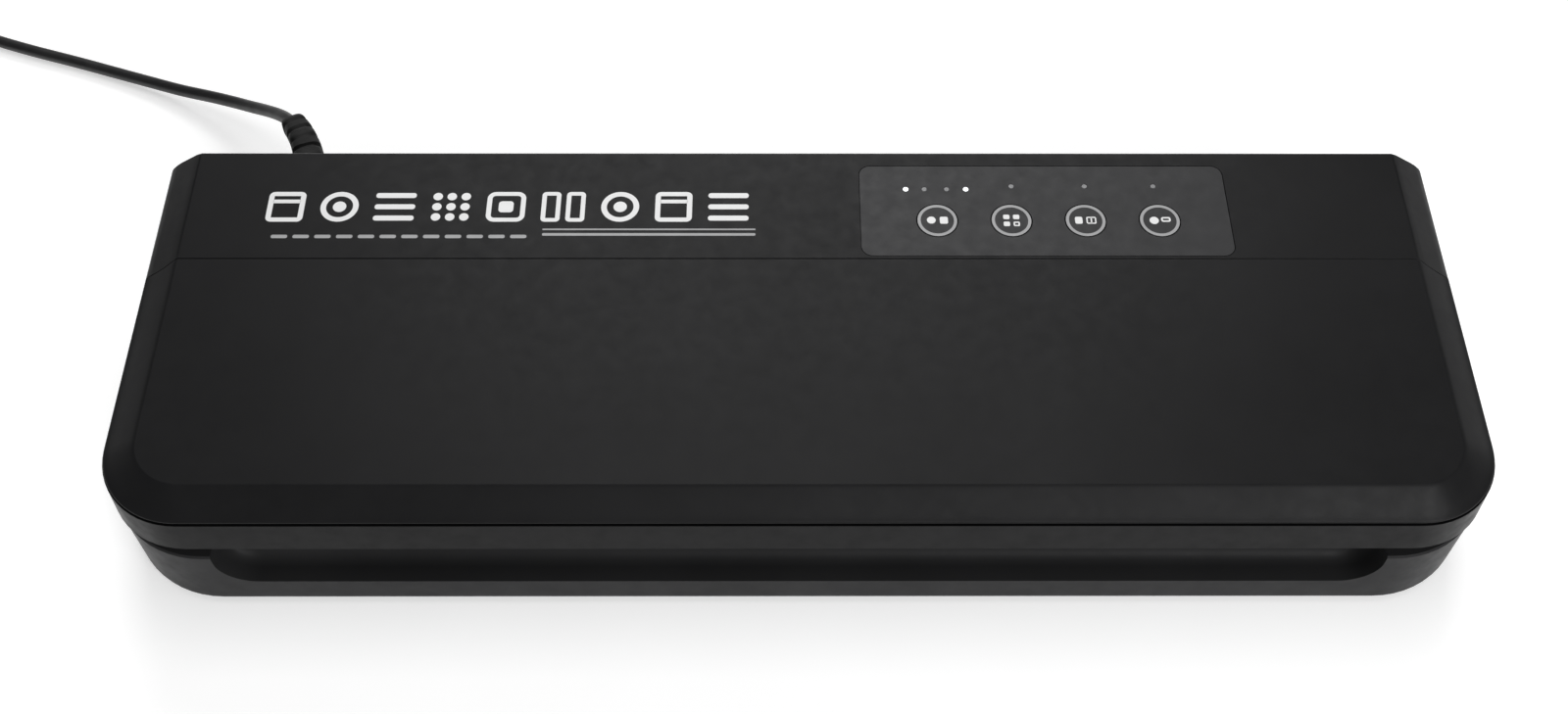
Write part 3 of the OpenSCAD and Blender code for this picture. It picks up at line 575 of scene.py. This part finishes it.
TOP = 52.0
Z0, Z1 = TOP-0.09, TOP-0.004
def marks(x0, y0, y1):
    """A row of plain pictograms: bags, dots, rings and bars."""
    S = []
    h = y1-y0
    def bag(x, w=10.5):
        S.append(frame_(x, y0, x+w, y1, 1.6, 1.5)); S.append(rrect(x+1.4, y0+h*0.62, x+w-1.4, y0+h*0.74, 0.3))
    def dots(x, n=3, p=4.0):
        for i in range(n):
            for j in range(n): S.append(disc(x+1.6+i*p, y0+1.7+j*(h-3.4)/(n-1), 1.35))
    def rings(x): S.append(ring(x+h/2, y0+h/2, h/2-1.6, h/2)); S.append(disc(x+h/2, y0+h/2, 1.9))
    def bars(x, w=11.5):
        for i in range(3): S.append(rrect(x, y0+0.4+i*(h-2.6)/2, x+w, y0+2.2+i*(h-2.6)/2, 0.8))
    def nest(x, w=11.0): S.append(frame_(x, y0, x+w, y1, 2.4, 1.4)); S.append(rrect(x+3.4, y0+3.4, x+w-3.4, y1-3.4, 1.0))
    def pair(x): S.append(frame_(x, y0, x+5.4, y1, 1.2, 1.3)); S.append(frame_(x+7, y0, x+12.4, y1, 1.2, 1.3))
    x = x0
    for f, w in ((bag, 10.5), (rings, h), (bars, 11.5), (dots, 11.2), (nest, 11.0), (pair, 12.4), (rings, h), (bag, 10.5), (bars, 11.5)):
        f(x); x += w+4.55
    return S
prism("printed_marks", marks(-150.6, 33.6, 44.4), Z0, Z1, "print", "base")
prism("printed_rule", [rrect(-148+6.1*i, 27.7, -148+6.1*i+4.6, 28.9, 0.5) for i in range(12)] + [rrect(-72, 28.6, -12, 29.5, 0.4), rrect(-72, 30.6, -12, 31.1, 0.2)], Z0, Z1, "print2", "base")

KX = [39.4+21*i for i in range(4)]
KY = 34.1
KEYB = ["key_mode_cap", "key_vac_seal_cap", "key_seal_cap", "key_vacuum_cap"]
ICONS = [
 [disc(-1.7, 0.1, 1.25), rrect(0.7, -1.2, 3.0, 1.3, 0.5)],
 [rrect(-2.3, 0.45, -0.5, 2.05, 0.4), rrect(0.5, 0.45, 2.3, 2.05, 0.4), rrect(-2.3, -2.05, -0.5, -0.45, 0.4), frame_(0.5, -2.05, 2.3, -0.45, 0.4, 0.42)],
 [rrect(-3.0, -1.2, -0.9, 1.3, 0.5), frame_(0.2, -1.2, 3.0, 1.3, 0.5, 0.38), rrect(1.4, -1.0, 1.8, 1.1, 0.1)],
 [disc(-1.6, 0.0, 1.3), frame_(0.4, -0.5, 3.1, 1.2, 0.6, 0.5)],
]
for i, (b, ic) in enumerate(zip(KEYB, ICONS)):
    prism("key_ring_%d" % (i+1), [ring(KX[i], KY, 4.72, 5.6)], Z0, Z1, "print2", b)
    sh = []
    for s in ic:
        if isinstance(s, tuple): sh.append(tuple([(x+KX[i], y+KY) for x, y in q] for q in s))
        else: sh.append([(x+KX[i], y+KY) for x, y in s])
    prism("key_icon_%d" % (i+1), sh, Z0, Z1, "print", b)
for i, (x, y) in enumerate(((30.9, 45.5), (48.1, 45.5))):
    V, F = [], []
    rs = [(0.79, Z0), (0.79, Z0+0.03), (0.66, Z0+0.06), (0.4, Z0+0.075), (0.0, Z0+0.08)]
    for r, z in rs[:-1]:
        V += [(x+r*math.cos(2*math.pi*k/24), y+r*math.sin(2*math.pi*k/24), z) for k in range(24)]
    V.append((x, y, rs[-1][1]))
    for j in range(3):
        for k in range(24): F.append((j*24+k, j*24+(k+1) % 24, (j+1)*24+(k+1) % 24, (j+1)*24+k))
    for k in range(24): F.append((72+k, 72+(k+1) % 24, 96))
    F.append(tuple(reversed(range(24))))
    lamp = mesh_obj("lit_lamp_%d" % (i+1), V, F, MAT["lens_on"])
    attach(lamp, "base")

# ------------------------------------------------------------------ foam gaskets
def ring_sweep(name, x0, y0, x1, y1, r, section, mat, n=14):
    path = rrect(x0, y0, x1, y1, r, n)
    dense = []
    for k in range(len(path)):
        a, b = Vector(path[k]), Vector(path[(k+1) % len(path)])
        L = (b-a).length
        c = max(1, int(L/3.0))
        for q in range(c): dense.append(a+(b-a)*q/c)
    m, V, F = len(dense), [], []
    for k in range(m):
        a, b = dense[k-1], dense[(k+1) % m]
        t = (b-a).normalized(); nrm = Vector((t.y, -t.x))
        wob = 0.05*math.sin(k*0.71)+0.04*math.sin(k*1.93+1.0)
        for w, z in section:
            V.append((dense[k].x+nrm.x*w*(1+wob*0.15), dense[k].y+nrm.y*w*(1+wob*0.15), z+wob*0.35*(1 if abs(w) < 2.6 else 0)))
    s = len(section)
    for k in range(m):
        for j in range(s):
            F.append((k*s+j, k*s+(j+1) % s, ((k+1) % m)*s+(j+1) % s, ((k+1) % m)*s+j))
    return mesh_obj(name, V, F, mat)
def crown(z0, z1, up=True):
    """Section of a foam strip: square foot, swollen sides, soft crown."""
    pts = []
    h = z1-z0
    base = [(-3.2, 0.0), (-3.33, 0.12), (-3.38, 0.45), (-3.3, 0.72), (-2.95, 0.9), (-2.3, 0.975), (-1.2, 0.965), (0, 0.955), (1.2, 0.965), (2.3, 0.975), (2.95, 0.9), (3.3, 0.72), (3.38, 0.45), (3.33, 0.12), (3.2, 0.0)]
    for w, t in base: pts.append((w, z0+h*t if up else z1-h*t))
    return pts
g1 = ring_sweep("chamber_seal", -157.5, -29.5, 157.5, 9.5, 5.5, crown(28.5, 31.0), MAT["foam"])
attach(g1, "base"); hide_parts("base_gasket")
g2 = ring_sweep("lid_seal", -157.5, -29.5, 157.5, 9.5, 5.5, crown(31.4, 38.5, False), MAT["foam"])
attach(g2, "lid"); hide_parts("lid_gasket")
for g in (g1, g2): shade(g, 60)

# ------------------------------------------------------------------ screws
def screw(V, F, x, y, zh, up, rh, hh, rs, ls):
    """Pan head with a cross recess, and a threaded shank. zh is the seat of the head; up is the side the head is on."""
    n = 40
    rows = []
    for r, h in ((0.0, 1.0), (0.18, 1.0), (0.34, 0.99), (0.5, 0.96), (0.66, 0.9), (0.82, 0.78), (0.94, 0.55), (1.0, 0.25), (1.0, 0.0)):
        rows.append([(r*rh, h*hh)]*n)
    o = len(V)
    for j, row in enumerate(rows):
        for k in range(n):
            a = 2*math.pi*k/n
            r, h = row[k]
            px, py = r*math.cos(a), r*math.sin(a)
            cross = min(abs(px), abs(py)) < 0.13*rh and max(abs(px), abs(py)) < 0.56*rh
            if cross: h -= 0.55*hh
            V.append((x+px, y+py, zh+up*h))
    for j in range(len(rows)-1):
        for k in range(n): F.append((o+j*n+k, o+j*n+(k+1) % n, o+(j+1)*n+(k+1) % n, o+(j+1)*n+k))
    o3 = len(V)
    q = 14
    N = max(8, int(ls/0.25))
    for j in range(N+1):
        t = j/N
        for k in range(q):
            a = 2*math.pi*k/q
            th = ((t*ls/0.9)-k/q) % 1.0
            r = rs*(0.86+0.14*(1-abs(2*th-1)))*(1.0 if t < 0.9 else 1-(t-0.9)*6.0)
            V.append((x+r*math.cos(a), y+r*math.sin(a), zh-up*(t*ls-0.02)))
    for j in range(N):
        for k in range(q): F.append((o3+j*q+k, o3+j*q+(k+1) % q, o3+(j+1)*q+(k+1) % q, o3+(j+1)*q+k))
    last = o+(len(rows)-1)*n
    F.append(tuple(last+k for k in range(n)))
    F.append(tuple(o3+k for k in range(q)))
    F.append(tuple(o3+N*q+k for k in reversed(range(q))))
def screw_set(name, node, body, items):
    V, F = [], []
    for it in items: screw(V, F, *it)
    s = mesh_obj(name, V, F, MAT["steel"]); shade(s, 38)
    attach(s, body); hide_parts(node)
    return s
screw_set("case_screws", "base_screws", "base", [(x, 50 if abs(x) > 100 else 53, 8.0, -1, 3.0, 1.8, 1.35, 14.0) for x in (-168, -95, 95, 168)])
screw_set("lid_fixings", "lid_screws", "lid", [(x, -51, 38.5, -1, 2.8, 1.8, 1.4, 2.5) for x in (-110, -36, 36, 110)] + [(x, 4, 38.5, -1, 2.8, 1.8, 1.4, 2.5) for x in (-172, 172)])
screw_set("board_fixings", "board_screws", "base", [(x, y, 9.6, 1, 2.8, 1.8, 1.45, 1.5) for x in (24, 136) for y in (29, 45)] + [(x, y, 43.4, -1, 2.4, 1.6, 1.12, 4.5) for x in (24, 116) for y in (28.5, 46.5)])

# ------------------------------------------------------------------ stage and light
def floor_material():
    m = plastic("paper_floor", (0.80, 0.80, 0.80), rough=0.85, rvar=0.04, grain=500, grain_h=0.00004, bump=0.15, mottle=0.01, spec=0.15)
    b = m.node_tree.nodes["Principled BSDF"]
    b.inputs["Emission Color"].default_value = (1, 1, 1, 1)
    b.inputs["Emission Strength"].default_value = 0.43
    return m
fm = bpy.data.meshes.new("floor")
G = 12
vs, fs = [], []
for j in range(G+1):
    for i in range(G+1):
        vs.append(((i/G-0.5)*6.0, (j/G-0.5)*6.0, 0.0))
for j in range(G):
    for i in range(G): fs.append((j*(G+1)+i, j*(G+1)+i+1, (j+1)*(G+1)+i+1, (j+1)*(G+1)+i))
fm.from_pydata(vs, [], fs)
fm.materials.append(floor_material())
floor = link(bpy.data.objects.new("floor", fm))

def area(name, loc, target, sx, sy, radiance, color=(1, 1, 1), spread=180):
    ld = bpy.data.lights.new(name, "AREA")
    ld.shape = "RECTANGLE"; ld.size = sx; ld.size_y = sy
    ld.energy = radiance*math.pi*sx*sy
    ld.color = color
    ld.spread = math.radians(spread)
    ob = link(bpy.data.objects.new(name, ld))
    ob.location = loc
    d = Vector(target)-Vector(loc)
    ob.rotation_mode = "QUATERNION"
    ob.rotation_quaternion = d.to_track_quat("-Z", "Y")
    return ob
area("overhead", (0.0, 0.10, 1.30), (0, 0.0, 0), 0.70, 0.9, 3.2)
area("behind", (0.0, 1.10, 1.20), (0, 0.0, 0.05), 1.05, 0.6, 5.6)
area("front_low", (0.25, -1.5, 0.30), (0.0, 0, 0.02), 2.2, 0.36, 0.8)
area("front_right", (0.95, -1.10, 0.75), (0.10, 0, 0.02), 0.5, 0.5, 8.5)
area("front_high", (0.45, -1.3, 0.95), (0.0, 0, 0.03), 1.1, 0.6, 4.4)
w = bpy.data.worlds.new("studio"); w.use_nodes = True
w.node_tree.nodes["Background"].inputs[0].default_value = (1, 1, 1, 1)
w.node_tree.nodes["Background"].inputs[1].default_value = 0.07
bpy.context.scene.world = w
bpy.context.scene.view_settings.view_transform = "Standard"
